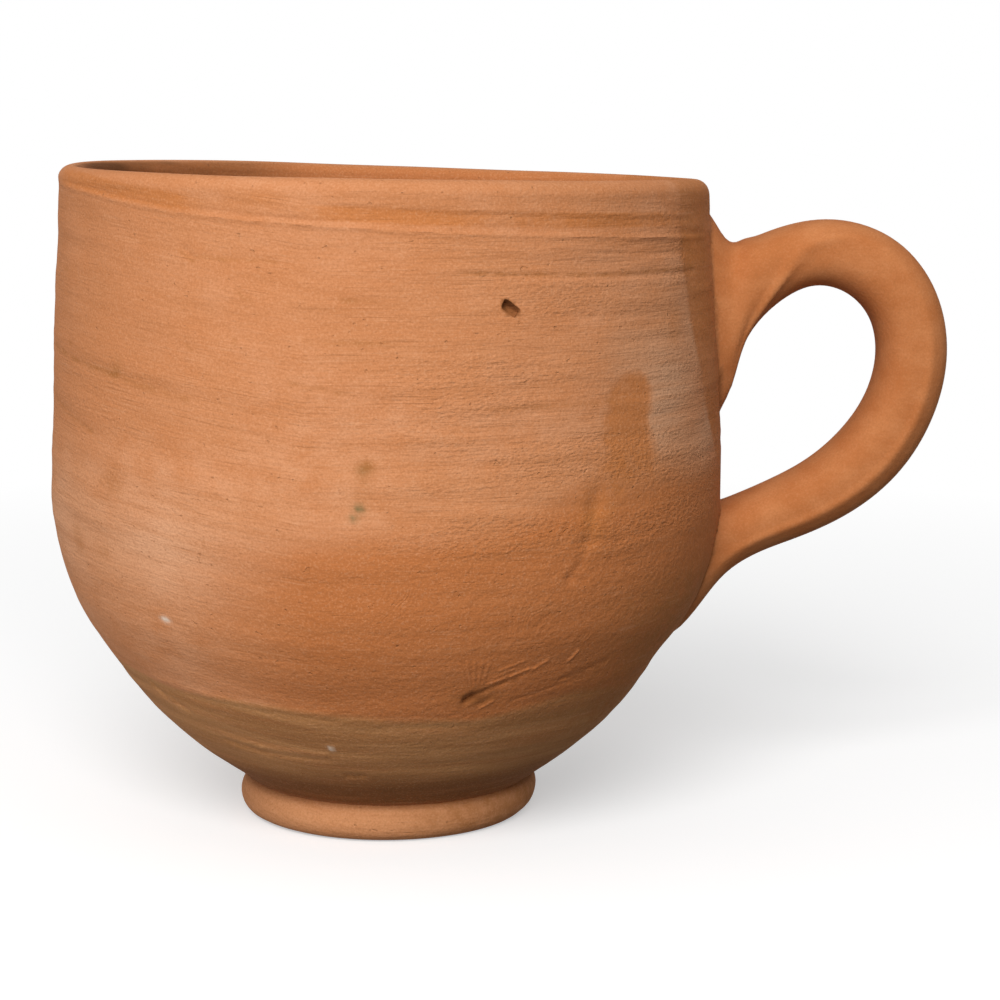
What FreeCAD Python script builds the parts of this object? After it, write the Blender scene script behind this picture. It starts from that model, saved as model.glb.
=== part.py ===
import FreeCAD, Part
import math
import os

# A terracotta mug: a body thrown on the wheel, trimmed below the belly, with a
# small foot and a pulled strap handle luted on. It is fired as one piece.
# Millimetres. +Z is up, the origin is the middle of the foot's underside, the
# body turns about Z and the handle stands out towards +X.

# Rim: its height over the axis, and how far it dips towards the handle, in degrees
rim_height = 89.0
rim_slope = 1.35

# Lip: a rolled band round the rim, a little prouder than the wall below it
lip_radius = 44.2
lip_thickness = 3.4
lip_outer_share = 0.55
lip_depth = 4.6
lip_run_out = 3.0
lip_proud = 0.2
lip_sink = 0.4

# Outside of the body: the wall leans out to the belly, which turns in to the trimmed bowl
belly_radius = 46.1
belly_height = 46.3
belly_curve = 36.7
bowl_slope = 62.1

# Foot, and the notch trimmed above it
foot_radius = 20.8
foot_height = 5.1
foot_edge = 3.2
notch_radius = 19.2

# Clay inside: the round bowl's wall and its floor
wall_thickness = 4.4
floor_thickness = 7.4

# Handle: its upper root's drop below the rim, the spacing of its two roots, its reach and its strap
upper_root_drop = 21.0
root_spacing = 32.0
handle_reach = 27.2
web_sink = 3.2
tail_sink = 5.3
grip_thickness = 9.9
crown_thickness = 9.3
tail_thickness = 8.8
grip_width = 12.4
tail_width = 12.8
web_width = 15.0
web_height = 35.5
tail_height = 23.7


def point(radius, height):
    return FreeCAD.Vector(radius, 0, height)


def towards(angle):
    # a direction in the half section, in degrees from +X up towards +Z
    return point(math.cos(math.radians(angle)), math.sin(math.radians(angle)))


def arc(centre, radius, start, end):
    middle = (start + end) / 2
    return Part.Arc(*[centre + towards(angle) * radius for angle in (start, middle, end)])


def tangent_angle(centre, radius, reached):
    # where a straight wall from the reached point above touches the circle
    away = reached - centre
    return math.degrees(math.atan2(away.z, away.x) - math.acos(radius / away.Length))


def foot_side():
    # a round edge from the ground up to the foot's widest ring, then in to the notch above it
    inset = foot_radius - notch_radius
    rise = foot_height - foot_edge
    roll = (inset ** 2 + rise ** 2) / (2 * inset)
    turn = math.degrees(math.atan2(rise, roll - inset))
    return [
        arc(point(foot_radius - foot_edge, foot_edge), foot_edge, -90, 0),
        arc(point(foot_radius - roll, foot_edge), roll, 0, turn),
    ]


def outer_side(wall_top):
    # the trimmed bowl curves from the notch to the belly's arc, and the wall leaves that arc straight
    notch = point(notch_radius, foot_height)
    belly_middle = point(belly_radius - belly_curve, belly_height)
    bowl_turn = bowl_slope - 90
    meeting = belly_middle + towards(bowl_turn) * belly_curve
    span = meeting - notch
    bowl_curve = span.dot(span) / (2 * span.dot(towards(bowl_turn)))
    bowl_middle = meeting - towards(bowl_turn) * bowl_curve
    start = notch - bowl_middle
    belly = arc(belly_middle, belly_curve, bowl_turn, tangent_angle(belly_middle, belly_curve, wall_top))
    return [
        arc(bowl_middle, bowl_curve, math.degrees(math.atan2(start.z, start.x)), bowl_turn),
        belly,
        Part.LineSegment(belly.EndPoint, wall_top),
    ]


def inner_side(wall_top):
    # inside, one round from the floor's middle out to the belly, and a straight wall up to the lip
    reach = belly_radius - wall_thickness
    rise = belly_height - floor_thickness
    radius = (reach ** 2 + rise ** 2) / (2 * rise)
    belly_turn = math.degrees(math.atan2(rise - radius, reach))
    bowl = arc(point(0, floor_thickness + radius), radius, -90, belly_turn)
    return [bowl, Part.LineSegment(bowl.EndPoint, wall_top)]


def turned(edges):
    # a closed half section, turned once round the axis
    section = Part.Face(Part.Wire([edge.toShape() for edge in edges]))
    return section.revolve(FreeCAD.Vector(), FreeCAD.Vector(0, 0, 1), 360)


def thrown_body(outside, inside):
    foot = foot_side()
    return turned([
        Part.LineSegment(point(0, 0), foot[0].StartPoint),
        *foot,
        *outside,
        Part.LineSegment(outside[-1].EndPoint, inside[-1].EndPoint),
        *inside[::-1],
        Part.LineSegment(inside[0].StartPoint, point(0, 0)),
    ])


def rolled_lip():
    # the band is round over its top, and its lower edges run out into the wall
    inner_radius = lip_radius - lip_thickness
    outer_round = lip_thickness * lip_outer_share
    inner_round = lip_thickness - outer_round
    over_outside = arc(point(lip_radius - outer_round, -outer_round), outer_round, 0, 90)
    over_inside = arc(point(inner_radius + inner_round, -inner_round), inner_round, 90, 180)
    corners = [
        over_inside.EndPoint,
        point(inner_radius, -lip_depth),
        point(inner_radius + lip_proud + lip_sink, -lip_depth - lip_run_out),
        point(lip_radius - lip_proud - lip_sink, -lip_depth - lip_run_out),
        point(lip_radius, -lip_depth),
        over_outside.StartPoint,
    ]
    sides = [Part.LineSegment(first, second) for first, second in zip(corners, corners[1:])]
    lip = turned([over_outside, over_inside, *sides])
    lip.Placement = FreeCAD.Placement(point(0, rim_height), FreeCAD.Rotation(FreeCAD.Vector(0, 1, 0), rim_slope))
    return lip


def radius_at(outside, height):
    # radius of the outer face at a height, where the handle's roots meet it
    level = Part.LineSegment(point(0, height), point(2 * belly_radius, height))
    return [hit.X for curve in outside for hit in curve.intersectCC(level)][0]


def strap_section(centre, lean, thickness, width):
    # a rounded strap: soft towards the fingers, with firmer corners on its outer face
    outward = towards(lean)
    across = FreeCAD.Vector(0, 1, 0)
    steps = 12
    points = []
    for step in range(steps):
        turn = 2 * math.pi * (step + 0.5) / steps
        firmness = 2.8 if math.sin(turn) > 0 else 2.3
        aside = math.copysign(abs(math.cos(turn)) ** (2 / firmness), math.cos(turn))
        out = math.copysign(abs(math.sin(turn)) ** (2 / firmness), math.sin(turn))
        points.append(centre + across * (aside * width / 2) + outward * (out * thickness / 2))
    ring = Part.BSplineCurve()
    ring.interpolate(Points=points, PeriodicFlag=True, Parameters=list(range(steps + 1)))
    return Part.Wire(ring.toShape())


def pulled_handle(outside):
    # stations along the strap, from inside the wall at the top to inside the wall at the bottom:
    # share of the reach, share of the height between the roots, lean of the outer face, thickness, width
    stations = [
        (-web_sink / handle_reach, 1.01, 90, web_height, web_width),
        (0.035, 1.024, 91, 24.2, web_width),
        (0.146, 1.14, 90, 14.4, web_width),
        (0.33, 1.272, 108, 9.2, 13.5),
        (0.54, 1.306, 88, crown_thickness, grip_width),
        (0.785, 1.248, 55, grip_thickness, grip_width),
        (0.945, 1.101, 28, grip_thickness, grip_width),
        (1.0, 0.888, 0, grip_thickness, grip_width),
        (0.96, 0.65, -19, grip_thickness, grip_width),
        (0.815, 0.4625, -36, 9.7, grip_width),
        (0.583, 0.289, -51, 9.3, grip_width),
        (0.346, 0.192, -67, tail_thickness, grip_width),
        (0.159, 0.128, -78, 9.0, tail_width),
        (0.044, 0.0625, -88, 11.1, tail_width),
        (-0.037, 0.003, -95, 16.3, tail_width),
        (-0.098, -0.045, -101, 20.9, tail_width),
        (-tail_sink / handle_reach, -0.075, -106, tail_height, tail_width),
    ]
    upper_root_height = rim_height - upper_root_drop
    lower_root_height = upper_root_height - root_spacing
    lower_wall = radius_at(outside, lower_root_height)
    upper_wall = radius_at(outside, upper_root_height)
    rings = []
    for out, up, lean, thickness, width in stations:
        wall = lower_wall + (upper_wall - lower_wall) * up
        height = lower_root_height + (upper_root_height - lower_root_height) * up
        rings.append(strap_section(point(wall + out * handle_reach, height), lean, thickness, width))
    return Part.makeLoft(rings, True, False)


# the wall ends halfway up inside the lip, which is proud of it on both sides
wall_end = rim_height - lip_depth / 2
outside = outer_side(point(lip_radius - lip_proud, wall_end))
inside = inner_side(point(lip_radius - lip_thickness + lip_proud, wall_end))
mug = thrown_body(outside, inside).fuse([rolled_lip(), pulled_handle(outside)]).removeSplitter()

os.makedirs("parts", exist_ok=True)
mug.exportStep("parts/mug.step")
print("mug", mug.isValid(), len(mug.Solids), len(mug.Faces), round(mug.Volume), mug.BoundBox)
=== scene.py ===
import math

import bmesh
import bpy
import numpy as np
from mathutils import Matrix, Vector, noise


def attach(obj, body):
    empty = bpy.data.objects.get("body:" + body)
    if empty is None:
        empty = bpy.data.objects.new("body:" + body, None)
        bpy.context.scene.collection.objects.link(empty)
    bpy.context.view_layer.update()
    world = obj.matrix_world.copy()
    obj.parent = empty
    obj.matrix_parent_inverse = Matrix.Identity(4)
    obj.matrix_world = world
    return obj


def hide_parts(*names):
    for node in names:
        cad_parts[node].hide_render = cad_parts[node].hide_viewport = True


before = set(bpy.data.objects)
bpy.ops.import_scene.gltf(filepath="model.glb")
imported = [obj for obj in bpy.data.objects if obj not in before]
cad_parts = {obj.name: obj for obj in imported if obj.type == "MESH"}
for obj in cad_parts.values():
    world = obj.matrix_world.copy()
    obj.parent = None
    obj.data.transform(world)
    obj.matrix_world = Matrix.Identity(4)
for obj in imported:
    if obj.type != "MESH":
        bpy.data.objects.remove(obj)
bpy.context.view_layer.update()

bpy.context.scene.view_settings.view_transform = "Standard"
MM = 0.001


# The body: one lump of red clay, opened and pulled up on the wheel, and trimmed below
# the belly with a loop tool. Its half section is drawn with straight runs and bends, from
# the middle of the foot round over the lip to the middle of the floor, then turned.
rim_height = 89.0 * MM
lip_radius = 44.2 * MM
lip_outer_round = 1.9 * MM
lip_inner_round = 1.5 * MM
lip_foot = 76.5 * MM
belly_radius = 46.1 * MM
belly_height = 46.3 * MM
belly_curve = 36.7 * MM
bowl_slope = math.radians(62.1)
notch_radius = 19.2 * MM
foot_height = 5.1 * MM
foot_radius = 20.8 * MM
foot_edge = 2.9 * MM
wall_thickness = 4.4 * MM
floor_thickness = 7.4 * MM
lip_row = 0.3 * MM
outer_row = 0.5 * MM
inner_row = 2.8 * MM
front_steps = 250
back_steps = 44

thrown = bmesh.new()
drawn_to = thrown.verts.new((0, 0, 0))


def draw(turn_centre, angle, shift, rows):
    # spins the last drawn point on about a centre, or shifts it on in a straight run
    global drawn_to
    run = bmesh.ops.spin(
        thrown, geom=[drawn_to], cent=turn_centre, axis=(0, -1, 0), dvec=shift, angle=angle, steps=rows,
    )
    drawn_to = [part for part in run["geom_last"] if isinstance(part, bmesh.types.BMVert)][0]


def draw_straight(x, z, row):
    span = Vector((x, 0, z)) - drawn_to.co
    rows = max(1, round(span.length / row))
    draw((0, 0, 0), 0.0, span / rows, rows)


def draw_bend(x, z, end_angle, row):
    # the end angle is the direction from the bend's centre, from +X up towards +Z
    away = drawn_to.co - Vector((x, 0, z))
    angle = end_angle - math.atan2(away.z, away.x)
    draw((x, 0, z), angle, (0, 0, 0), max(2, round(abs(angle) * away.length / row)))


# foot: wire-cut underside, round edge and the notch above it
draw_straight(foot_radius - foot_edge, 0, inner_row)
draw_bend(foot_radius - foot_edge, foot_edge, 0, outer_row)
notch_inset = foot_radius - notch_radius
notch_rise = foot_height - foot_edge
notch_curve = (notch_inset ** 2 + notch_rise ** 2) / (2 * notch_inset)
draw_bend(foot_radius - notch_curve, foot_edge, math.atan2(notch_rise, notch_curve - notch_inset), outer_row)

# trimmed bowl, belly and wall
bowl_turn = bowl_slope - math.pi / 2
belly_x = belly_radius - belly_curve
square_to_wall = Vector((math.cos(bowl_turn), 0, math.sin(bowl_turn)))
meeting = Vector((belly_x, 0, belly_height)) + square_to_wall * belly_curve
bowl_span = meeting - drawn_to.co
bowl_curve = bowl_span.length_squared / (2 * bowl_span.dot(square_to_wall))
bowl_middle = meeting - square_to_wall * bowl_curve
draw_bend(bowl_middle.x, bowl_middle.z, bowl_turn, outer_row)
lip_start = rim_height - lip_outer_round
to_lip = Vector((lip_radius - belly_x, lip_start - belly_height))
wall_turn = math.atan2(to_lip.y, to_lip.x) - math.acos(belly_curve / to_lip.length)
draw_bend(belly_x, belly_height, wall_turn, outer_row)
lip_foot_share = (lip_foot - drawn_to.co.z) / (lip_start - drawn_to.co.z)
draw_straight(drawn_to.co.x + (lip_radius - drawn_to.co.x) * lip_foot_share, lip_foot, outer_row)
draw_straight(lip_radius, lip_start, lip_row)
draw_bend(lip_radius - lip_outer_round, lip_start, math.pi / 2, lip_row)
outline = [(vert.co.z / MM, vert.co.x / MM) for vert in thrown.verts]

# inside: the lip's other half, a straight wall and one round down to the floor's middle
draw_bend(lip_radius - lip_outer_round, rim_height - lip_inner_round, math.pi, lip_row)
inner_reach = belly_radius - wall_thickness
inner_rise = belly_height - floor_thickness
inner_curve = (inner_reach ** 2 + inner_rise ** 2) / (2 * inner_rise)
draw_straight(inner_reach, belly_height, inner_row)
draw_bend(0, floor_thickness + inner_curve, -math.pi / 2, inner_row)

# the half section turns from the handle's side round the front, and on round the back
half_section = thrown.verts[:] + thrown.edges[:]
front = bmesh.ops.spin(
    thrown, geom=half_section, cent=(0, 0, 0), axis=(0, 0, 1), dvec=(0, 0, 0), angle=-math.pi, steps=front_steps,
)
bmesh.ops.spin(
    thrown, geom=front["geom_last"], cent=(0, 0, 0), axis=(0, 0, 1), dvec=(0, 0, 0), angle=-math.pi, steps=back_steps,
)
bmesh.ops.remove_doubles(thrown, verts=thrown.verts, dist=0.01 * MM)

# a denser patch, where a scraper later leaves a dent with thin ridges
dented = []
for edge in thrown.edges:
    middle = (edge.verts[0].co + edge.verts[1].co) / 2
    turned = math.degrees(math.atan2(middle.x, -middle.y))
    if 13 < turned < 38 and 20.5 * MM < middle.z < 31 * MM and middle.xy.length > middle.z + 10 * MM:
        dented.append(edge)
bmesh.ops.subdivide_edges(thrown, edges=dented, cuts=2, use_grid_fill=True)
bmesh.ops.recalc_face_normals(thrown, faces=thrown.faces)
body_mesh = bpy.data.meshes.new("mug")
thrown.to_mesh(body_mesh)
thrown.free()
body_mesh.shade_smooth()


# The maker's hand on the body, all in millimetres: the rim dips towards the handle, the wall
# swells and leans a little, fingers leave rings, and tools leave a groove, steps and scratches.
# An azimuth is in degrees from the front, and goes up towards the handle.
rim_dip = 0.0236
rim_twist = 0.005


def read_places(mesh):
    places = np.empty(len(mesh.vertices) * 3)
    mesh.vertices.foreach_get("co", places)
    return places.reshape(-1, 3).T / MM


def read_azimuth(x, y):
    return np.degrees(np.arctan2(x, -y))


def bell(distance, width):
    return np.exp(-(distance / width) ** 2)


def between(value, low, high, soft):
    # 1 from low to high, and down to 0 over a soft edge outside them
    return np.clip((value - low) / soft + 1, 0, 1) * np.clip((high - value) / soft + 1, 0, 1)


def rough_field(x, y, z, across, up, offset):
    # soft noise with its own scale round the wall and up it, from about -0.5 to 0.5
    points = zip(x * across + offset, y * across, z * up)
    return np.array([noise.noise(point) for point in points])


def stroke(azimuth, z, start, end, width):
    # 1 along a straight stroke over the unrolled wall, which is 0.8 mm long for each degree
    run = np.array(((end[0] - start[0]) * 0.8, end[1] - start[1]))
    aside = (azimuth - start[0]) * 0.8
    above = z - start[1]
    share = np.clip((aside * run[0] + above * run[1]) / (run @ run), 0, 1)
    return bell(np.hypot(aside - run[0] * share, above - run[1] * share), width)


x, y, z = read_places(body_mesh)
azimuth = read_azimuth(x, y)
radius = np.hypot(x, y)
outside = np.clip(radius - np.interp(z, *zip(*outline)) + 2, 0, 1) * between(z, 0.6, 200, 0.5)
inside = (1 - outside) * between(z, 7.6, 200, 0.5)
level = z + 0.14 * np.minimum(x, -8)

# swells of the wall that the pulls left: height, size and spread
swells = [(16.0, 0.1, 4.0), (23.6, -0.16, 4.5), (32.0, 0.14, 4.5), (41.0, -0.08, 5.0), (65.5, 0.15, 6.0), (80.0, -0.16, 4.5)]
proud = sum(size * bell(z - height, spread) for height, size, spread in swells)

# finger rings, the turned steps of the trimmed bowl and the rougher clay towards the handle
rough_side = between(azimuth, 24, 74, 16) * between(z, 44, 82, 6)
proud += 0.16 * rough_field(x, y, level, 0.05, 0.32, 0.0)
proud += 0.07 * (0.6 + 1.2 * rough_side) * rough_field(x, y, level, 0.07, 0.85, 7.0)
proud += 0.10 * rough_field(x, y, z, 0.11, 0.11, 3.0)
trimmed = between(z, 6.5, 22.0, 1.5)
proud += 0.10 * trimmed * rough_field(x, y, z, 0.04, 0.6, 11.0)
proud += 0.10 * bell(z - 44, 14) * between(azimuth, -150, -55, 30)
proud -= 0.55 * bell(z - 23, 3.5) * between(azimuth, 74, 112, 14)
proud += 0.25 * bell(z - 5.2, 0.9)

# the groove that the last turn leaves winds down below the lip, with a burr under it
groove_course = [(-92, 88.1), (-57, 86.7), (-33, 84.9), (-12, 84.0), (13, 83.2), (48, 82.5), (61, 82.3), (150, 81.0)]
below_groove = z - np.interp(azimuth, *zip(*groove_course))
groove_length = between(azimuth, -64, 60, 16)
proud -= 0.15 * bell(below_groove, 0.28) * groove_length
proud += 0.18 * bell(below_groove + 0.5, 0.28) * groove_length
proud -= 0.18 * between(below_groove, 0.4, 1.9, 0.25) * between(azimuth, -4, 62, 6)
proud -= 0.08 * between(below_groove, 0.5, 1.6, 0.5) * between(azimuth, -66, -22, 10)

# strokes: start and end as (azimuth, height), width and how far they stand proud
strokes = [
    ((-76, 66.5), (-34, 62.8), 0.7, -0.10),
    ((-74, 59.6), (-53, 56.5), 0.6, -0.08),
    ((-76, 77.6), (-60, 76.0), 0.5, -0.06),
    ((30, 80.4), (62, 79.7), 0.22, -0.10),
    ((14, 77.9), (40, 77.2), 0.24, -0.15),
    ((40, 77.2), (66, 77.3), 0.24, -0.15),
    ((20, 61.6), (40, 61.4), 0.4, -0.08),
    ((36.8, 49.8), (35.2, 44.4), 1.3, -0.32),
    ((34.8, 44.0), (34.3, 41.6), 0.4, -0.12),
    ((34.2, 41.5), (32.0, 39.6), 0.5, -0.22),
    ((32.0, 39.5), (35.0, 39.1), 0.4, -0.22),
    ((42.0, 40.5), (48.0, 34.0), 0.4, 0.05),
    ((29.0, 43.0), (22.0, 34.0), 0.3, 0.05),
    ((31.5, 41.0), (25.5, 34.0), 0.3, 0.04),
    ((23.4, 36.5), (21.2, 31.4), 0.3, -0.12),
    ((17.1, 23.8), (18.1, 24.2), 0.5, -0.90),
    ((18.4, 24.5), (20.6, 25.0), 0.36, -0.18),
    ((20.6, 25.2), (24.0, 26.1), 0.3, -0.10),
    ((14.6, 29.3), (17.2, 25.0), 0.17, 0.10),
    ((15.9, 29.4), (17.6, 25.4), 0.16, 0.10),
    ((17.2, 29.3), (18.1, 25.7), 0.17, 0.11),
    ((18.6, 29.2), (18.8, 26.0), 0.16, 0.10),
    ((20.0, 28.9), (19.6, 26.2), 0.17, 0.10),
    ((20.8, 26.0), (24.7, 26.9), 0.17, 0.10),
    ((24.7, 26.9), (27.7, 27.7), 0.17, 0.14),
    ((27.7, 27.7), (29.1, 27.7), 0.17, 0.10),
    ((29.1, 27.7), (31.4, 28.7), 0.2, 0.14),
    ((22.0, 27.8), (26.4, 29.0), 0.17, 0.10),
    ((21.6, 26.9), (25.0, 27.9), 0.16, 0.09),
    ((23.5, 26.1), (28.0, 27.0), 0.3, -0.09),
    ((36.2, 28.2), (37.2, 29.4), 0.24, 0.20),
    ((20.2, 22.4), (22.6, 23.3), 0.2, 0.14),
    ((19.4, 22.9), (21.8, 23.9), 0.3, -0.10),
    ((27.0, 23.2), (42.0, 25.4), 0.3, -0.10),
    ((36.0, 25.4), (46.0, 27.0), 0.3, -0.22),
    ((-50, 24.0), (-36, 23.0), 0.5, 0.16),
    ((-36, 23.0), (-22, 22.3), 0.45, 0.18),
    ((-22, 22.3), (-9, 21.8), 0.4, 0.14),
    ((-40, 22.2), (-8, 21.0), 0.5, -0.12),
    ((2, 20.2), (20, 19.8), 0.4, -0.14),
    ((-39, 16.3), (-28.6, 15.3), 0.4, 0.18),
    ((-28.6, 15.3), (-12, 15.0), 0.4, 0.16),
    ((-39, 15.6), (-28.6, 14.5), 0.45, -0.28),
    ((-28.6, 14.5), (-12, 14.2), 0.45, -0.26),
    ((-54, 22.5), (-51, 21.0), 0.5, -0.30),
    ((-48, 20.5), (-45, 19.6), 0.5, -0.30),
    ((-9.2, 11.5), (-7.2, 11.4), 0.35, -0.50),
    ((-6.0, 11.5), (-4.2, 11.5), 0.35, -0.50),
    ((-10.8, 16.2), (-9.8, 16.4), 0.3, 0.22),
    ((-31.2, 80.2), (-29.8, 79.4), 0.35, -0.18),
    ((-12.0, 84.0), (-12.0, 75.0), 0.3, -0.05),
    ((-20.5, 49.0), (-20.0, 43.0), 0.35, -0.08),
]
thin_marks = [
    ((-28.8, 79.4), (-15.1, 79.0)),
    ((-32.0, 80.0), (-29.2, 78.8)),
    ((-21.1, 75.2), (-18.9, 74.3)),
    ((-4.8, 74.7), (2.1, 74.2)),
    ((-12.5, 64.6), (-7.0, 63.9)),
    ((-6.0, 63.6), (-2.6, 63.3)),
    ((-62.9, 67.5), (-61.6, 66.9)),
    ((-30.2, 68.6), (-28.9, 67.9)),
    ((-21.6, 69.8), (-21.3, 69.1)),
    ((-9.7, 69.6), (4.3, 69.3)),
    ((-19.9, 85.0), (-19.4, 84.8)),
]
for start, end, width, height in strokes:
    proud += height * stroke(azimuth, z, start, end, width)
for start, end in thin_marks:
    proud -= 0.09 * stroke(azimuth, z, start, end, 0.25)

# a finger wiped one place smooth, and the lip draws in a little where the handle pulls on it
proud -= 0.10 * bell(np.hypot((azimuth - 44.5) / 5, (z - 58.5) / 7), 1.0)
proud *= between(z, 2.0, 86.5, 1.2)
proud -= between(z, 84.5, 200, 3) * 0.3 * between(azimuth, 70, 125, 30)
proud *= outside

# rings that the fingers left inside
proud += inside * between(z, 12, 84, 4) * 0.35 * rough_field(x, y, level, 0.012, 0.17, 5.0)

lean = [(0, -0.35), (3.5, 0.05), (8, 0.3), (14, 0.1), (25, 0.1), (45, 0.12), (58, 0.18), (75, 0.05), (89, 0)]
shift = np.interp(z, *zip(*lean)) * outside
upper = between(z, 86, 200, 34) ** 2 * (3 - 2 * between(z, 86, 200, 34))
x_share, y_share = x / np.maximum(radius, 1), y / np.maximum(radius, 1)
moved = np.array((
    x + x_share * proud + shift,
    y + y_share * proud,
    z - upper * (rim_dip * x + rim_twist * 2 * x * y / np.maximum(radius, 1)),
))
rim_waver = 0.12 * rough_field(x, y, z, 0.05, 0.0, 21.0) * between(z, 86, 200, 6)
moved[2] += rim_waver - 0.32 * bell(x - 3, 26) * between(y, 8, 200, 12) * between(z, 86, 200, 12)
moved[2] -= 0.08 * between(-x, 30, 200, 24) * between(z, 86, 200, 12)
moved[:2] *= np.minimum(1, 46.08 / np.maximum(np.hypot(moved[0], moved[1]), 1))
body_mesh.vertices.foreach_set("co", (moved * MM).T.ravel())
mug = bpy.data.objects.new("terracotta_mug", body_mesh)
bpy.context.scene.collection.objects.link(mug)


# The handle: a strap pulled from a soft lump of the same clay, pressed on below the rim
# and on the belly. It is lofted through stations along the strap and joined to the body
# by a union, and the joint is smoothed over as a wet finger does.
lower_root = Vector((44.65, 0, 36.0)) * MM
upper_root = Vector((45.04, 0, 68.0)) * MM
handle_reach = 27.2 * MM
strap_segments = 90
strap_row = 0.8
ridge_angle = 163
inner_ridge_spread = 6
outer_ridge_spread = 12
fold_spread = 10
# share of the reach, share of the way between the roots, lean of the outer face in degrees,
# thickness and width in millimetres, how sharp the ridge along its near side is, and how proud
# the fold below it is and where it runs, in degrees round the section
stations = np.array([
    (-0.118, 1.004, 90, 32.6, 17.0, 0, 0.2, 236),
    (-0.024, 1.022, 90, 28.4, 16.4, 0, 0.35, 236),
    (0.035, 1.021, 91, 23.9, 15.4, 0, 0.6, 234),
    (0.137, 1.136, 90, 14.7, 15.0, 0, 0.95, 226),
    (0.228, 1.217, 97, 10.6, 14.4, 0, 1.3, 211),
    (0.331, 1.271, 104, 9.1, 13.5, 0, 1.0, 188),
    (0.540, 1.313, 88, 9.0, 12.4, 0, 0.6, 158),
    (0.784, 1.251, 55, 9.6, 12.4, 0.2, 0.2, 150),
    (0.940, 1.101, 28, 9.55, 12.4, 0.4, 0, 165),
    (1.000, 0.888, 0, 9.5, 12.4, 0.6, 0, 165),
    (0.948, 0.6545, -19, 9.55, 12.4, 0.9, 0, 165),
    (0.815, 0.463, -36, 9.7, 12.4, 1, 0, 165),
    (0.583, 0.292, -51, 9.25, 12.4, 1, 0, 165),
    (0.346, 0.192, -67, 8.6, 12.4, 1, 0, 165),
    (0.160, 0.123, -78, 8.7, 12.8, 0.9, 0, 165),
    (0.038, 0.060, -88, 11.0, 12.8, 0.5, 0, 165),
    (-0.037, 0.003, -95, 15.1, 12.8, 0.2, 0, 165),
    (-0.098, -0.045, -101, 18.6, 12.8, 0, 0, 165),
    (-0.195, -0.075, -106, 21.8, 12.8, 0, 0, 165),
])

# a natural cubic spline through the stations, over their distance along the strap
leaps = np.diff(stations, axis=0)
gaps = np.hypot(leaps[:, 0] * handle_reach, leaps[:, 1] * (upper_root.z - lower_root.z)) / MM
along = np.concatenate(([0], np.cumsum(gaps)))
slopes = leaps / gaps[:, None]
balance = np.eye(len(stations))
pull = np.zeros_like(stations)
for index in range(1, len(stations) - 1):
    before, after = gaps[index - 1], gaps[index]
    balance[index, index - 1:index + 2] = before, 2 * (before + after), after
    pull[index] = 6 * (slopes[index] - slopes[index - 1])
bends = np.linalg.solve(balance, pull)


def strap_at(distance):
    index = min(int(np.searchsorted(along, distance, side="right")) - 1, len(gaps) - 1)
    gap = gaps[index]
    past, left = distance - along[index], along[index + 1] - distance
    curved = (bends[index] * left ** 3 + bends[index + 1] * past ** 3) / (6 * gap)
    near_share = (stations[index] / gap - bends[index] * gap / 6) * left
    return curved + near_share + (stations[index + 1] / gap - bends[index + 1] * gap / 6) * past


def rounded(share, firmness):
    return math.copysign(abs(share) ** (2 / firmness), share)


pulled = bmesh.new()
rings = []
for distance in np.linspace(0, along[-1], round(along[-1] / strap_row)):
    out, up, lean, thickness, width, ridge, fold, fold_angle = strap_at(distance)
    centre = lower_root.lerp(upper_root, up) + Vector((out * handle_reach, 0, 0))
    outward = Vector((math.cos(math.radians(lean)), 0, math.sin(math.radians(lean))))
    ring = bmesh.ops.create_circle(pulled, cap_ends=False, radius=1.0, segments=strap_segments)["verts"]
    for vert in ring:
        turned = math.degrees(math.atan2(vert.co.y, vert.co.x)) % 360
        ridge_spread = inner_ridge_spread if turned > ridge_angle else outer_ridge_spread
        ridged = 0.055 * ridge * math.exp(-((turned - ridge_angle) / ridge_spread) ** 2)
        folded = 0.085 * fold * math.exp(-((turned - fold_angle) / fold_spread) ** 2)
        firmness = 2.3
        if vert.co.y > 0:
            firmness = 2.8 - 0.5 * ridge * between(turned, 110, 180, 20)
        aside = rounded(vert.co.x, firmness) * (1 + ridged + folded)
        proud_of_middle = rounded(vert.co.y, firmness) * (1 + ridged + folded)
        across = Vector((0, aside * width / 2, 0)) * MM
        vert.co = centre + across + outward * (proud_of_middle * thickness / 2 * MM)
    rings.append(list({edge for vert in ring for edge in vert.link_edges}))
for first_ring, next_ring in zip(rings, rings[1:]):
    bmesh.ops.bridge_loops(pulled, edges=first_ring + next_ring)
bmesh.ops.holes_fill(pulled, edges=rings[0] + rings[-1], sides=0)
bmesh.ops.recalc_face_normals(pulled, faces=pulled.faces)
handle_mesh = bpy.data.meshes.new("handle")
pulled.to_mesh(handle_mesh)
pulled.free()
handle_mesh.shade_smooth()
handle = bpy.data.objects.new("handle", handle_mesh)
bpy.context.scene.collection.objects.link(handle)

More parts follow.
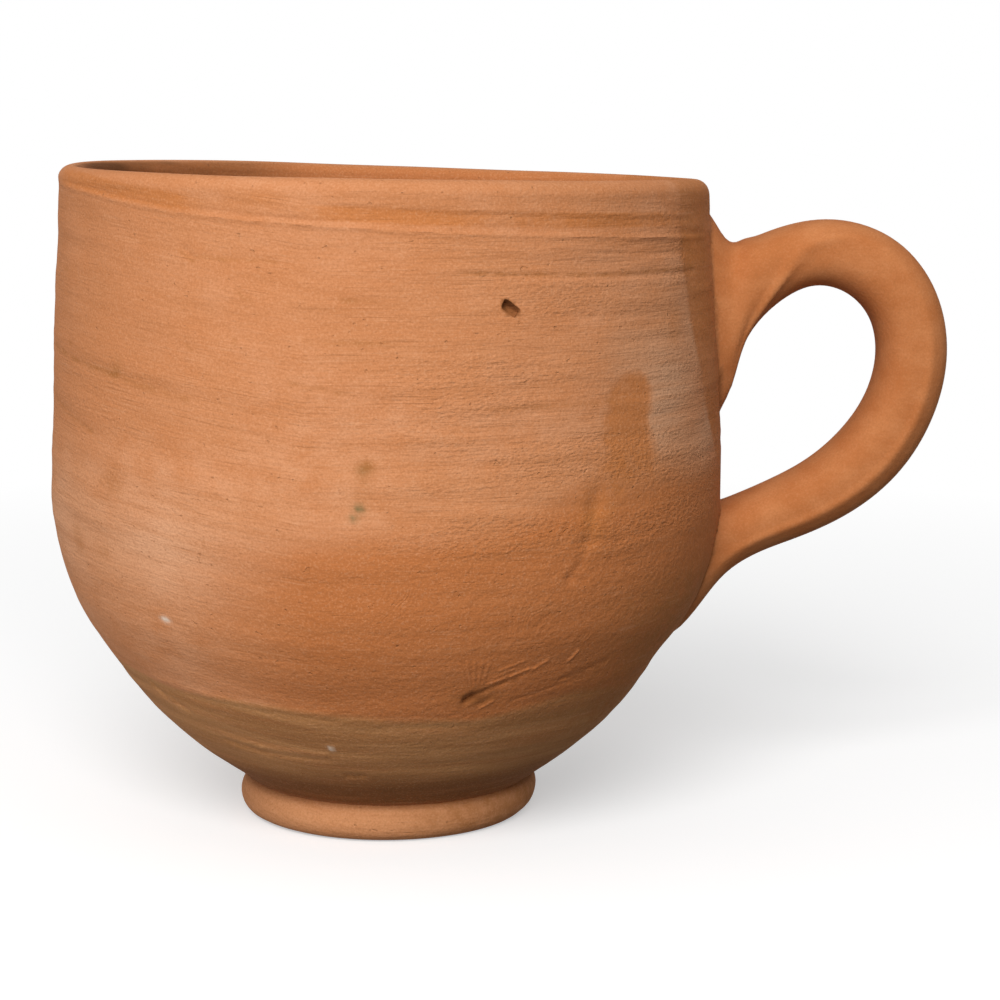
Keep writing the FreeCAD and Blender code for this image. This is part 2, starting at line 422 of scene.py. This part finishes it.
# a lump of grit fell out of the wall and left a slanting pit, deep at its upper edge
pit_azimuth = math.radians(21.9)
pit_radius = 44.65 * MM
pit_height = 73.4 * MM
pit_cut = bmesh.new()
bmesh.ops.create_cube(pit_cut, size=1.0)
bmesh.ops.scale(pit_cut, vec=Vector((2.2, 1.7, 1.2)) * MM, verts=pit_cut.verts)
bmesh.ops.bevel(
    pit_cut, geom=pit_cut.edges, offset=0.25 * MM, offset_type="OFFSET", segments=2, profile=0.5,
    affect="EDGES", material=-1,
)
tip = Matrix.Rotation(math.radians(38), 4, "Y")
tip = tip @ Matrix.Rotation(math.radians(-24), 4, "X") @ Matrix.Rotation(math.radians(-18), 4, "Z")
for vert in pit_cut.verts:
    vert.co += noise.noise_vector(vert.co * 1300) * 0.2 * MM
placed = Matrix.Rotation(pit_azimuth, 4, "Z") @ Matrix.Translation((0, -pit_radius, pit_height)) @ tip
bmesh.ops.transform(pit_cut, matrix=placed, verts=pit_cut.verts)
pit_mesh = bpy.data.meshes.new("pit")
pit_cut.to_mesh(pit_mesh)
pit_cut.free()
pit = bpy.data.objects.new("pit", pit_mesh)
bpy.context.scene.collection.objects.link(pit)

clay = bpy.data.materials.new("clay")
spare_clays = [bpy.data.materials.new(name) for name in ("clay_of_handle", "clay_of_pit")]
for mesh in (body_mesh, handle_mesh, pit_mesh):
    for made_of in [clay, *spare_clays]:
        mesh.materials.append(made_of)
for face in handle_mesh.polygons:
    face.material_index = 1
for face in pit_mesh.polygons:
    face.material_index = 2
for name, operation, other in (("pressed_on", "UNION", handle), ("fallen_out", "DIFFERENCE", pit)):
    joint = mug.modifiers.new(name, "BOOLEAN")
    joint.operation = operation
    joint.solver = "MANIFOLD"
    joint.object = other
bpy.context.view_layer.update()
joined_mesh = bpy.data.meshes.new_from_object(mug.evaluated_get(bpy.context.evaluated_depsgraph_get()))
mug.modifiers.clear()
mug.data = joined_mesh
bpy.data.objects.remove(handle)
bpy.data.objects.remove(pit)

# the seam is wiped with a wet finger, and only its crease stays
joined = bmesh.new()
joined.from_mesh(joined_mesh)
bmesh.ops.remove_doubles(joined, verts=joined.verts, dist=0.005 * MM)
seam = {edge for edge in joined.edges if {face.material_index for face in edge.link_faces} == {0, 1}}
wet = {vert for edge in seam for vert in edge.verts}
for reach in range(2):
    wet |= {edge.other_vert(vert) for vert in wet for edge in vert.link_edges}
for wipe in range(3):
    bmesh.ops.smooth_vert(joined, verts=list(wet), factor=0.5, use_axis_x=True, use_axis_y=True, use_axis_z=True)
seam_crease_shade = np.array([float(any(edge in seam for edge in vert.link_edges)) for vert in joined.verts])
pit_shade_mask = np.array([float(any(face.material_index == 2 for face in vert.link_faces)) for vert in joined.verts])
of_handle = np.array([
    np.mean([face.material_index == 1 for face in vert.link_faces]) if vert.link_faces else 0.0 for vert in joined.verts
])
for face in joined.faces:
    face.material_index = 0
joined.to_mesh(joined_mesh)
joined.free()
for made_of in spare_clays:
    joined_mesh.materials.pop()
    bpy.data.materials.remove(made_of)
joined_mesh.set_sharp_from_angle(angle=math.radians(50))
print("union", sum(len(face.vertices) - 2 for face in joined_mesh.polygons), "triangles")

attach(mug, "root")
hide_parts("mug")


# The clay: common red earthenware, fired once and left bare. It is matt, and its colour
# wanders from orange to a paler pink. Where it is finished by hand the colour changes too,
# so each such place has its own share on the mesh, from 0 to 1.
# Some of these shares paint light and shade, not the clay's colour, and say so where they are made.
x, y, z = read_places(joined_mesh)
azimuth = read_azimuth(x, y)
on_body = 1 - of_handle


def store(name, values):
    attribute = joined_mesh.attributes.new(name, "FLOAT", "POINT")
    attribute.data.foreach_set("value", np.clip(values, 0, 1))


def blot(middle, across, up):
    # a round blot on the unrolled wall, given its middle, half width and half height in millimetres
    return bell(np.hypot((azimuth - middle[0]) * 0.8 / across, (z - middle[1]) / up), 1.0)



def upper_dip(x, z):
    # undoes the rim's dip, roughly
    return rim_dip * x * between(z, 86, 200, 34)


mottle = rough_field(x, y, z, 0.09, 0.13, 31.0)
speckle = rough_field(x, y, z, 0.8, 0.8, 37.0)
bloom_edge = np.interp(z, [44, 50, 60, 70, 80], [80, 77, 68, 63, 61])
bloom = between(azimuth, 57, bloom_edge, 20) * between(bloom_edge - azimuth, 0, 200, 1.2) * between(z, 48, 70, 10)
wavy = azimuth + 2.5 * mottle + speckle
wiped = between(wavy, 41.6, 48.4, 2.6) * between(z + 1.5 * mottle + 0.09 * (azimuth - 45) ** 2, 51, 64.2, 1.6) * (0.85 + mottle + 0.6 * speckle)
handle_side = between(azimuth, bloom_edge + 0.6, 125, 1.2) * between(z, 34, 88, 8)
prints = 0.8 * blot((4, 38), 3.2, 6.5) + blot((25.5, 33.6), 3.0, 3.4)
# finger wear below the belly smooths the relief; its darker, redder colour is also painted shade under the belly's
# bulge and on its right
worn_top = np.interp(azimuth, [-20, 20, 35, 60], [43, 44, 48, 49])
low_belly_wear_and_shade = between(azimuth, -10, 100, 24) * between(z, 21, 200, 5) * between(worn_top - z, 0, 200, 5)
store("handle", of_handle * 1.0)
store("bloom", bloom * (1 - wiped) * on_body * (0.85 + mottle))
store("wiped", np.maximum(wiped, 0.75 * handle_side * (0.9 + mottle)) * on_body)
# painted shade: a dark line along the crease where the handle meets the body
store("seam", seam_crease_shade * (0.75 + mottle))
radius_in = np.hypot(x, y) - np.interp(z + upper_dip(x, z), *zip(*outline)) + 2.6
store("inner", on_body * (1 - np.clip(radius_in, 0, 1)) * between(z, 8, 200, 1))
store("prints", prints * (0.9 + speckle) * on_body)
store("wear_and_shade", low_belly_wear_and_shade * on_body)
trimmed_course = [(-70, 24.2), (-36, 22.9), (-22, 22.2), (-9, 21.7), (9, 20.8), (19, 20.0), (30, 21.2), (42, 22.6), (60, 21), (85, 19)]
below_trim = z - np.interp(azimuth, *zip(*trimmed_course)) + 1.2 * mottle
# the trimmed bowl's duller, streaked clay, made darker too as painted shade on the bowl that faces down
store("trimmed", between(below_trim, -30, 0, 0.7 + 0.5 * between(azimuth, 0, 90, 20)) * between(z, 5.2, 200, 1.5) * on_body)
# painted shade: the cove above the foot, under the bowl's overhang, is darkened where shade falls
store("cove_shade", between(z, 4.8, 9.0, 3.6) * on_body)
rough = between(azimuth, 14, bloom_edge, 14) * between(bloom_edge - azimuth, 0, 200, 1.5) * between(z, 45, 81, 4)
store("rough", (rough + 0.35 * between(z, 40, 62, 8)) * on_body)
# stains in small blots, darker lines along strokes, grooves and thin marks, darker clay beside the handle, and painted
# shade round the dent, low on the right of the belly and on the foot's right
stains_and_shade = (
    1.0 * blot((-0.5, 54.7), 1.0, 0.7) + 0.35 * blot((-1.2, 51.8), 0.9, 2.4) + 0.7 * blot((-46, 65.0), 1.2, 1.2)
    + 0.5 * blot((-46.5, 50.5), 2.0, 1.4) + 0.5 * blot((-59, 42), 1.5, 1.8) + 0.4 * blot((-50, 41.5), 1.4, 1.0)
    + 0.45 * blot((36, 47.4), 0.9, 2.2) + 0.3 * blot((57, 70), 1.4, 2.0) + 0.6 * blot((19.2, 24.2), 3.2, 1.2)
    + 0.75 * between(azimuth, 60, 105, 24) * between(z, 18, 34, 6)
    + 0.4 * between(azimuth, 30, 100, 30) * between(z, -1, 5, 1)
)
stains_and_shade += 0.6 * stroke(azimuth, z, (-76, 66.5), (-46, 64.2), 0.32) + 0.4 * stroke(azimuth, z, (-46, 64.0), (-30, 62.0), 0.4)
stains_and_shade += 0.4 * stroke(azimuth, z, (-74, 59.6), (-53, 56.5), 0.3) + 0.3 * stroke(azimuth, z, (-76, 77.6), (-60, 76.0), 0.3)
above_groove = z - np.interp(azimuth, *zip(*groove_course))
smeared = between(above_groove, 0.35, 1.9, 0.25) * between(azimuth, -4, 56, 8)
smeared += between(above_groove, 0.5, 1.9, 0.6) * between(azimuth, -66, -34, 8) + blot((-19, 86.6), 3.4, 0.9)
smeared += 0.6 * between(above_groove, -4.2, -1.2, 0.5) * between(azimuth, 63, 85, 3)
smeared += 0.9 * blot((36, 47.2), 2.2, 4.2) + 0.5 * blot((57, 70), 1.6, 2.4) + 0.4 * between(wavy, 40, 50, 3) * between(z, 49, 53, 2)
store("smeared", smeared * (1.05 + 0.8 * mottle + 0.6 * speckle) * on_body)
# darker brown on the inside, below the rim at the left back
dark_inside_left = between(z, 82, 200, 2) * between(np.abs(azimuth + 113), -1, 16, 34) * (1 - np.clip(radius_in - 0.6, 0, 1))
store("dark_inside_left", dark_inside_left * (0.85 + 0.5 * mottle + 0.4 * speckle) * on_body)
for start, end in thin_marks:
    stains_and_shade += 0.5 * stroke(azimuth, z, start, end, 0.2)
stains_and_shade += 0.3 * handle_side + 0.55 * stroke(azimuth, z, (14, 77.8), (40, 77.1), 0.26)
stains_and_shade += 0.55 * stroke(azimuth, z, (40, 77.1), (66, 77.2), 0.26) + 0.3 * stroke(azimuth, z, (18, 61.6), (42, 61.4), 0.2)
store("stains_and_shade", stains_and_shade * (0.95 + 1.2 * speckle) * on_body)
store("moss", 0.9 * blot((-1.7, 49.6), 0.6, 0.5) + 0.7 * blot((-2.6, 48.4), 0.5, 0.45) + 0.2 * blot((-1.2, 54.2), 0.9, 0.7))
# painted sheen: a paler pink band along the lit left of the belly
store("lit_belly_sheen", blot((-34, 43), 13, 6) + 0.7 * blot((-12, 43), 8, 3.5) + 0.8 * blot((-66, 44), 10, 7))
# painted shade: the upper wall is darker, most of all at its left
store("upper_wall_shade", (between(azimuth, -100, -52, 24) * between(z, 58, 200, 10) + 0.5 * between(z, 64, 200, 10)) * on_body)
# painted shade: in the pit, over the dent and along the groove beside it, where shade falls
dent_shade = 1.3 * blot((17.6, 24.0), 1.1, 0.8) + 0.6 * stroke(azimuth, z, (19.0, 25.0), (26.0, 26.5), 0.3)
dent_shade += 0.75 * blot((19.0, 24.3), 2.7, 1.3)
store("pit", pit_shade_mask + dent_shade + 0.5 * stroke(azimuth, z, (36.0, 25.3), (46.0, 26.9), 0.25))
# painted light: the foot is kept lighter, as if lit, below the darker cove
store("foot", between(z, -9, 4.4, 1.4) * on_body)
store("pale", blot((-37, 33.7), 0.7, 0.35) + blot((-10.4, 16.3), 0.45, 0.35))

clay.use_nodes = True
tree = clay.node_tree


def add_node(kind, values, **settings):
    made = tree.nodes.new(kind)
    for name, value in settings.items():
        setattr(made, name, value)
    for socket, value in values.items():
        if isinstance(value, bpy.types.NodeSocket):
            tree.links.new(value, made.inputs[socket])
        else:
            made.inputs[socket].default_value = value
    return made


def reckon(operation, first, second=0.0, third=0.0):
    return add_node("ShaderNodeMath", {0: first, 1: second, 2: third}, operation=operation).outputs[0]


def scaled(vector, by):
    return add_node("ShaderNodeVectorMath", {0: vector, 1: by}, operation="MULTIPLY").outputs[0]


def share_of(value, low, high):
    return add_node("ShaderNodeMapRange", {"Value": value, "From Min": low, "From Max": high}).outputs[0]


def grown(vector, by, detail=2.0):
    return add_node("ShaderNodeTexNoise", {"Vector": scaled(vector, by), "Scale": 1.0, "Detail": detail}).outputs[0]


def tinted(share, under, over, blend="MIX"):
    mix = add_node("ShaderNodeMix", {0: share, 6: under, 7: over}, data_type="RGBA", blend_type=blend)
    return mix.outputs[2]


def stored(name):
    return add_node("ShaderNodeAttribute", {}, attribute_name=name).outputs["Fac"]


# the wall's own coordinates in millimetres, which follow the winding of the wheel marks
place = scaled(add_node("ShaderNodeTexCoord", {}).outputs["Object"], (1000, 1000, 1000))
parts = add_node("ShaderNodeSeparateXYZ", {0: place})
winding = reckon("MULTIPLY_ADD", reckon("MINIMUM", parts.outputs[0], -8.0), 0.14, parts.outputs[2])
wheel = add_node("ShaderNodeCombineXYZ", {0: parts.outputs[0], 1: parts.outputs[1], 2: winding}).outputs[0]
of_handle_share = stored("handle")
of_body_share = reckon("SUBTRACT", 1.0, of_handle_share)
rough_share = stored("rough")
wiped_share = stored("wiped")
wear_and_shade_share = stored("wear_and_shade")
print_share = stored("prints")
trimmed_and_shade_share = stored("trimmed")

fine_lines = grown(wheel, (0.22, 0.22, 3.0), 3.0)
lines = grown(wheel, (0.06, 0.06, 0.9), 3.0)
rough_rows = share_of(grown(wheel, (0.04, 0.04, 0.22), 2.0), 0.40, 0.58)
crumbs = grown(wheel, (1.4, 1.4, 2.8), 3.0)
nicks = share_of(grown(place, (1.1, 1.1, 1.4), 1.0), 0.73, 0.79)
patches = grown(place, (0.05, 0.05, 0.07), 4.0)
clouds = grown(place, (0.22, 0.22, 0.3), 3.0)
leather = grown(place, (0.8, 0.8, 0.9), 3.0)
scratches = grown(wheel, (0.08, 0.08, 3.6), 2.0)
scratched = share_of(grown(place, (0.14, 0.14, 0.5), 2.0), 0.50, 0.62)
grain = grown(place, (3.6, 3.6, 3.6), 1.0)
coarse_grain = grown(place, (1.5, 1.5, 1.8), 3.0)

# colour: orange and pink in patches, streaked along the wheel marks
colour = tinted(share_of(patches, 0.4, 0.62), (0.565, 0.237, 0.102, 1), (0.610, 0.273, 0.132, 1))
colour = tinted(share_of(clouds, 0.35, 0.7), colour, (0.545, 0.214, 0.085, 1))
# painted shade on the upper wall
colour = tinted(reckon("MULTIPLY", stored("upper_wall_shade"), 0.7), colour, (0.515, 0.196, 0.075, 1))
# painted sheen on the lit left of the belly
colour = tinted(reckon("MULTIPLY", stored("lit_belly_sheen"), 0.75), colour, (0.660, 0.345, 0.195, 1))
colour = tinted(stored("bloom"), colour, (0.595, 0.315, 0.175, 1))
# finger wear, and painted shade under the belly
colour = tinted(reckon("MULTIPLY", wear_and_shade_share, 0.92), colour, (0.462, 0.150, 0.042, 1))
# trimmed clay in streaks, darkened further as painted shade on the downward-facing bowl
trim_streaks = share_of(grown(wheel, (0.05, 0.05, 0.7), 3.0), 0.38, 0.62)
trim_and_shade_colour = tinted(trim_streaks, (0.348, 0.155, 0.053, 1), (0.475, 0.230, 0.088, 1))
colour = tinted(reckon("MULTIPLY", trimmed_and_shade_share, 0.92), colour, trim_and_shade_colour)
# painted shade in the cove above the foot
colour = tinted(reckon("MULTIPLY", stored("cove_shade"), 0.93), colour, (0.175, 0.062, 0.016, 1))
# painted light on the foot
colour = tinted(stored("foot"), colour, (0.600, 0.264, 0.114, 1))
colour = tinted(wiped_share, colour, (0.500, 0.180, 0.056, 1))
colour = tinted(reckon("MULTIPLY", stored("inner"), 0.9), colour, (0.500, 0.172, 0.055, 1))
handle_colour = tinted(share_of(clouds, 0.36, 0.66), (0.468, 0.156, 0.047, 1), (0.530, 0.196, 0.068, 1))
colour = tinted(of_handle_share, colour, handle_colour)
colour = tinted(reckon("MULTIPLY", stored("smeared"), 0.7), colour, (0.500, 0.165, 0.040, 1))
# stains, and painted shade round the dent, low on the right and on the foot
colour = tinted(stored("stains_and_shade"), colour, (0.370, 0.138, 0.038, 1))
dark_streak = reckon("MULTIPLY", reckon("SUBTRACT", 1.0, share_of(lines, 0.34, 0.5)), of_body_share)
colour = tinted(reckon("MULTIPLY", dark_streak, 0.3), colour, (0.440, 0.165, 0.058, 1))
rough_here = reckon("MULTIPLY_ADD", reckon("MULTIPLY", rough_share, rough_rows), 0.8, 0.12)
rough_here = reckon("MULTIPLY", rough_here, of_body_share)
pore_share = reckon("MULTIPLY", share_of(crumbs, 0.58, 0.70), rough_here)
nick_share = reckon("MULTIPLY", nicks, of_body_share)
colour = tinted(reckon("MULTIPLY", pore_share, 0.45), colour, (0.360, 0.145, 0.055, 1))
colour = tinted(reckon("MULTIPLY", nick_share, 0.4), colour, (0.380, 0.145, 0.050, 1))
dark_scratch = reckon("MULTIPLY", reckon("MULTIPLY", share_of(scratches, 0.60, 0.68), scratched), of_body_share)
pale_scratch = reckon("MULTIPLY", reckon("MULTIPLY", share_of(scratches, 0.42, 0.34), scratched), of_body_share)
colour = tinted(reckon("MULTIPLY", dark_scratch, 0.26), colour, (0.370, 0.136, 0.046, 1))
colour = tinted(reckon("MULTIPLY", pale_scratch, 0.2), colour, (0.700, 0.350, 0.185, 1))
grain_share = reckon("MULTIPLY_ADD", of_body_share, 0.12, 0.10)
colour = tinted(reckon("MULTIPLY", share_of(grain, 0.52, 0.72), grain_share), colour, (0.720, 0.380, 0.210, 1))
colour = tinted(reckon("MULTIPLY", share_of(grain, 0.48, 0.28), 0.3), colour, (0.360, 0.135, 0.046, 1))
# painted shade along the handle's crease
colour = tinted(reckon("MULTIPLY", stored("seam"), 0.55), colour, (0.220, 0.076, 0.022, 1))
# painted shade in the pit and the dent
colour = tinted(reckon("MULTIPLY", stored("pit"), 0.85), colour, (0.215, 0.074, 0.020, 1))
# darker brown inside, below the rim at the left back
colour = tinted(stored("dark_inside_left"), colour, (0.160, 0.060, 0.020, 1))
colour = tinted(stored("pale"), colour, (0.800, 0.680, 0.560, 1))
colour = tinted(stored("moss"), colour, (0.110, 0.115, 0.045, 1))

# relief in millimetres: fine wheel lines, grain, open pores and the ridges of fingerprints
quiet = reckon("SUBTRACT", 1.0, reckon("MINIMUM", reckon("ADD", wiped_share, wear_and_shade_share), 0.8))
line_depth = reckon("MULTIPLY", reckon("MULTIPLY_ADD", rough_share, 0.05, 0.075), reckon("MULTIPLY", quiet, of_body_share))
relief = reckon("MULTIPLY", fine_lines, line_depth)
relief = reckon("MULTIPLY_ADD", reckon("MULTIPLY", crumbs, rough_here), 0.24, relief)
relief = reckon("MULTIPLY_ADD", coarse_grain, reckon("MULTIPLY_ADD", of_body_share, 0.04, 0.06), relief)
relief = reckon("MULTIPLY_ADD", leather, reckon("MULTIPLY", wear_and_shade_share, 0.14), relief)
relief = reckon("MULTIPLY_ADD", dark_scratch, -0.025, relief)
relief = reckon("MULTIPLY_ADD", grain, 0.018, relief)
relief = reckon("MULTIPLY_ADD", nick_share, -0.08, relief)
print_middle = (24.2, -38.5, 32.0)
from_middle = add_node("ShaderNodeVectorMath", {0: place, 1: print_middle}, operation="DISTANCE").outputs["Value"]
wander = grown(place, (0.16, 0.16, 0.16), 2.0)
print_phase = reckon("MULTIPLY_ADD", wander, 90.0, reckon("MULTIPLY", from_middle, 2 * math.pi / 0.55))
print_ridges = reckon("SINE", print_phase)
print_share = reckon("MULTIPLY", print_share, share_of(clouds, 0.4, 0.6))
relief = reckon("MULTIPLY_ADD", reckon("MULTIPLY", print_ridges, print_share), 0.016, relief)
bumped = add_node("ShaderNodeBump", {"Height": relief, "Distance": MM, "Strength": 1.0})

surface = tree.nodes["Principled BSDF"]
surface.inputs["Roughness"].default_value = 0.9
surface.inputs["Specular IOR Level"].default_value = 0.15
tree.links.new(colour, surface.inputs["Base Color"])
tree.links.new(bumped.outputs[0], surface.inputs["Normal"])


# The studio: a pale floor that shows white and keeps the mug's shadow, one large soft
# light at the front left, and a white surround.
floor_mesh = bpy.data.meshes.new("floor")
floor_shape = bmesh.new()
bmesh.ops.create_grid(floor_shape, x_segments=1, y_segments=1, size=6.0)
floor_shape.to_mesh(floor_mesh)
floor_shape.free()
floor = bpy.data.objects.new("floor", floor_mesh)
bpy.context.scene.collection.objects.link(floor)

floor_paint = bpy.data.materials.new("floor_paint")
floor_mesh.materials.append(floor_paint)
floor_paint.use_nodes = True
tree = floor_paint.node_tree
tree.nodes.remove(tree.nodes["Principled BSDF"])


def seen_plainly():
    # 1 for what the eye, a gloss or a glass sees, and 0 for light that bounces
    ray = add_node("ShaderNodeLightPath", {})
    eye_or_gloss = reckon("MAXIMUM", ray.outputs["Is Camera Ray"], ray.outputs["Is Glossy Ray"])
    return reckon("MAXIMUM", eye_or_gloss, ray.outputs["Is Transmission Ray"])


def blended(share, first, second):
    return add_node("ShaderNodeMixShader", {0: share, 1: first, 2: second}).outputs[0]


shaded = add_node("ShaderNodeBsdfDiffuse", {"Color": (0.72, 0.72, 0.72, 1)}).outputs[0]
lift = add_node("ShaderNodeEmission", {"Strength": 0.42}).outputs[0]
near_floor = add_node("ShaderNodeAddShader", {0: shaded, 1: lift}).outputs[0]
far_floor = add_node("ShaderNodeEmission", {"Strength": 1.0}).outputs[0]
floor_place = add_node("ShaderNodeTexCoord", {}).outputs["Object"]
from_mug = add_node("ShaderNodeVectorMath", {0: floor_place}, operation="LENGTH").outputs["Value"]
seen_floor = blended(share_of(from_mug, 0.08, 0.32), near_floor, far_floor)
# the light that bounces off the floor is stronger at the left
aside = add_node("ShaderNodeSeparateXYZ", {0: floor_place}).outputs[0]
bounced = add_node("ShaderNodeBsdfDiffuse", {"Color": (0.12, 0.12, 0.12, 1)}).outputs[0]
bounced_left = add_node("ShaderNodeBsdfDiffuse", {"Color": (0.47, 0.47, 0.47, 1)}).outputs[0]
bounced = blended(share_of(aside, 0.04, -0.04), bounced, bounced_left)
whole_floor = blended(seen_plainly(), bounced, seen_floor)
tree.links.new(whole_floor, tree.nodes["Material Output"].inputs["Surface"])

world = bpy.data.worlds.new("white_surround")
bpy.context.scene.world = world
world.use_nodes = True
tree = world.node_tree
soft_light = tree.nodes["Background"]
soft_light.inputs["Color"].default_value = (1, 1, 1, 1)
sky = add_node("ShaderNodeSeparateXYZ", {0: add_node("ShaderNodeTexCoord", {}).outputs["Generated"]})
tree.links.new(reckon("MULTIPLY_ADD", sky.outputs[0], -0.08, 0.39), soft_light.inputs["Strength"])
white = add_node("ShaderNodeBackground", {"Color": (1, 1, 1, 1), "Strength": 1.0}).outputs[0]
surround = blended(seen_plainly(), soft_light.outputs[0], white)
tree.links.new(surround, tree.nodes["World Output"].inputs["Surface"])

window_light = bpy.data.lights.new("window_light", "AREA")
window_light.shape = "DISK"
window_light.size = 0.5
window_light.energy = 6.4
window = bpy.data.objects.new("window_light", window_light)
window.location = (-0.084, -0.688, 0.48)
window.rotation_euler = (Vector((0, 0, 0.045)) - window.location).to_track_quat("-Z", "Y").to_euler()
bpy.context.scene.collection.objects.link(window)


# The camera: a little above the mug's shoulder, looking slightly down.
camera_lens = bpy.data.cameras.new("camera")
camera_lens.sensor_width = 36.0
camera_lens.lens = 88.97
camera = bpy.data.objects.new("camera", camera_lens)
camera.location = (0.0156, -0.340, 0.0969)
level_turn = Matrix.Rotation(math.radians(81.079), 4, "X") @ Matrix.Rotation(0.0028, 4, "Z")
camera.rotation_euler = level_turn.to_euler()
bpy.context.scene.collection.objects.link(camera)
bpy.context.scene.camera = camera
